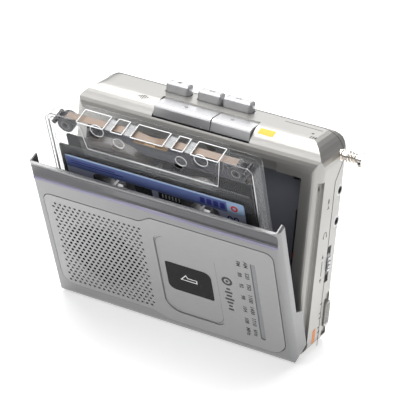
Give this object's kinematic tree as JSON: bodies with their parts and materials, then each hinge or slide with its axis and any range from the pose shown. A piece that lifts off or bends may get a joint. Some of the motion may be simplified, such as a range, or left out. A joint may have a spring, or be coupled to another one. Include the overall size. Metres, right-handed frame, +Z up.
{
  "type": "cassette player",
  "caption": "Portable cassette player and radio with its bottom-hinged front door open, a cassette standing in the door, top keys, side dials and a telescopic antenna.",
  "frame": {"origin": "middle of the housing's width at the face it stands on, 17 mm in front of its rear face", "axes": "+X right seen from the front, +Z up, the front faces -Y"},
  "size_m": [0.1329, 0.0727, 0.1079],
  "materials": {
    "silver_plastic": "satin metallic paint over plastic",
    "fascia_silver": "brushed satin",
    "key_silver": "bright satin",
    "dark_plastic": "matte",
    "black_plastic": "matte",
    "rubber": "matte",
    "board": "solder mask",
    "steel": "plain",
    "brass": "turned",
    "spindle_plastic": "matte",
    "antenna_chrome": "polished",
    "battery_wrap": "gloss wrap",
    "smoked_window": "smoked",
    "dial_lens": "satin",
    "clear_shell": "clear polystyrene",
    "roller_black": "smooth",
    "pad": "plain",
    "pointer_orange": "matte",
    "label": "printed paper",
    "tape": "oxide"
  },
  "bodies": {
    "housing": {"front_housing": "silver_plastic", "rear_housing": "silver_plastic", "cassette_well": "dark_plastic", "circuit_board": "board", "motor": "steel", "drive_belt": "rubber", "key_springs": "steel", "tuning_capacitor": "spindle_plastic", "band_switch": "steel", "headphone_jack": "black_plastic", "microphone_jack": "black_plastic", "microphone": "steel", "antenna_tube": "antenna_chrome", "batteries": "battery_wrap", "battery_contacts": "steel", "housing_screws": "steel"},
    "battery_cover": {"battery_cover": "silver_plastic"},
    "door": {"door_shell": "silver_plastic", "door_fascia": "fascia_silver", "door_window": "smoked_window", "dial_lens": "dial_lens", "door_lining": "dark_plastic", "speaker": "black_plastic", "hinge_pins": "steel"},
    "cassette": {"cassette_front_half": "clear_shell", "cassette_rear_half": "clear_shell", "guide_rollers": "roller_black", "pressure_pad": "pad", "cassette_label": "label", "tape_ribbon": "tape", "cassette_screws": "steel"},
    "left_reel": {"left_hub": "spindle_plastic", "left_tape_pack": "tape"},
    "right_reel": {"right_hub": "spindle_plastic", "right_tape_pack": "tape"},
    "flywheel": {"flywheel": "brass"},
    "motor_pulley": {"motor_pulley": "brass"},
    "takeup_spindle": {"takeup_spindle": "spindle_plastic"},
    "supply_spindle": {"supply_spindle": "spindle_plastic"},
    "idler_wheel": {"idler_wheel": "rubber"},
    "head_carriage": {"head_plate": "steel", "tape_head": "steel", "erase_head": "black_plastic", "pinch_arm": "steel"},
    "pinch_roller": {"pinch_roller": "rubber"},
    "play_key": {"play_key": "key_silver"},
    "record_key": {"record_key": "key_silver"},
    "stop_key": {"stop_key": "key_silver"},
    "rewind_key": {"rewind_key": "key_silver"},
    "forward_key": {"forward_key": "key_silver"},
    "tuning_wheel": {"tuning_wheel": "key_silver"},
    "dial_carriage": {"dial_carriage": "pointer_orange"},
    "volume_wheel": {"volume_wheel": "key_silver"},
    "band_switch_knob": {"band_switch_knob": "silver_plastic"},
    "antenna_middle": {"antenna_middle": "antenna_chrome"},
    "antenna_inner": {"antenna_inner": "antenna_chrome", "antenna_tip": "antenna_chrome"}
  },
  "joints": [
    {"name": "door_hinge", "type": "hinge", "parent": "housing", "child": "door", "pos_m": [0, -0.011, 0.006], "axis": [-1, 0, 0], "range_deg": [0, 24]},
    {"name": "cassette_slide", "type": "slide", "parent": "door", "child": "cassette", "axis": [0, 0.4067, -0.9135], "range_m": [0, 0.035]},
    {"name": "left_reel_spin", "type": "hinge", "parent": "cassette", "child": "left_reel", "pos_m": [-0.02215, -0.0362, 0.07403], "axis": [0, 0.9135, 0.4067], "continuous": true},
    {"name": "right_reel_spin", "type": "hinge", "parent": "cassette", "child": "right_reel", "pos_m": [0.02035, -0.0362, 0.07403], "axis": [0, 0.9135, 0.4067], "continuous": true},
    {"name": "flywheel_spin", "type": "hinge", "parent": "housing", "child": "flywheel", "pos_m": [0.0241, 0.003, 0.0744], "axis": [0, 1, 0], "continuous": true},
    {"name": "motor_pulley_spin", "type": "hinge", "parent": "housing", "child": "motor_pulley", "pos_m": [-0.02, 0.003, 0.06], "axis": [0, 1, 0], "continuous": true},
    {"name": "takeup_spin", "type": "hinge", "parent": "housing", "child": "takeup_spindle", "pos_m": [0.02035, 0.001, 0.0434], "axis": [0, 1, 0], "continuous": true},
    {"name": "supply_spin", "type": "hinge", "parent": "housing", "child": "supply_spindle", "pos_m": [-0.02215, 0.001, 0.0434], "axis": [0, 1, 0], "continuous": true},
    {"name": "idler_spin", "type": "hinge", "parent": "housing", "child": "idler_wheel", "pos_m": [-0.0009, 0.002, 0.0434], "axis": [0, 1, 0], "continuous": true},
    {"name": "play_key_press", "type": "slide", "parent": "housing", "child": "play_key", "axis": [0, 0, -1], "range_m": [0, 0.002], "stiffness_N_per_m": 300, "springref_m": -0.003, "deforming": ["key_springs"]},
    {"name": "head_slide", "type": "slide", "parent": "housing", "child": "head_carriage", "axis": [0, 0, -1], "range_m": [0, 0.0078]},
    {"name": "pinch_roller_spin", "type": "hinge", "parent": "head_carriage", "child": "pinch_roller", "pos_m": [0.0241, -0.006, 0.0864], "axis": [0, 1, 0], "continuous": true},
    {"name": "record_key_press", "type": "slide", "parent": "housing", "child": "record_key", "axis": [0, 0, -1], "range_m": [0, 0.002], "stiffness_N_per_m": 200, "springref_m": -0.003},
    {"name": "stop_key_press", "type": "slide", "parent": "housing", "child": "stop_key", "axis": [0, 0, -1], "range_m": [0, 0.002], "stiffness_N_per_m": 200, "springref_m": -0.003},
    {"name": "rewind_key_press", "type": "slide", "parent": "housing", "child": "rewind_key", "axis": [0, 0, -1], "range_m": [0, 0.002], "stiffness_N_per_m": 200, "springref_m": -0.003},
    {"name": "forward_key_press", "type": "slide", "parent": "housing", "child": "forward_key", "axis": [0, 0, -1], "range_m": [0, 0.002], "stiffness_N_per_m": 200, "springref_m": -0.003},
    {"name": "tuning_turn", "type": "hinge", "parent": "housing", "child": "tuning_wheel", "pos_m": [0.0509, 0.008, 0.041], "axis": [0, 1, 0], "range_deg": [-140, 140]},
    {"name": "dial_slide", "type": "slide", "parent": "housing", "child": "dial_carriage", "axis": [0, 0, 1], "range_m": [-0.02, 0.02]},
    {"name": "volume_turn", "type": "hinge", "parent": "housing", "child": "volume_wheel", "pos_m": [-0.0529, 0.008, 0.06], "axis": [0, 1, 0], "range_deg": [-140, 140]},
    {"name": "band_switch_slide", "type": "slide", "parent": "housing", "child": "band_switch_knob", "axis": [0, 0, 1], "range_m": [-0.0042, 0.0042]},
    {"name": "antenna_middle_slide", "type": "slide", "parent": "housing", "child": "antenna_middle", "axis": [1, 0, 0], "range_m": [0, 0.095]},
    {"name": "antenna_inner_slide", "type": "slide", "parent": "antenna_middle", "child": "antenna_inner", "axis": [1, 0, 0], "range_m": [0, 0.095]},
    {"name": "battery_cover_off", "type": "slide", "parent": "housing", "child": "battery_cover", "axis": [0, 1, 0], "range_m": [0, 0.012]}
  ],
  "couplings": [
    {"joint": "cassette_slide", "follows": "door_hinge", "m_per_rad": 0.083556},
    {"joint": "right_reel_spin", "follows": "left_reel_spin", "ratio": 1.5333},
    {"joint": "motor_pulley_spin", "follows": "flywheel_spin", "ratio": 3.5},
    {"joint": "takeup_spin", "follows": "flywheel_spin", "ratio": -0.2},
    {"joint": "supply_spin", "follows": "flywheel_spin", "ratio": -0.2},
    {"joint": "idler_spin", "follows": "flywheel_spin", "ratio": 0.12121},
    {"joint": "head_slide", "follows": "play_key_press", "ratio": 3.9},
    {"joint": "dial_slide", "follows": "tuning_turn", "m_per_rad": 0.0081851}
  ]
}
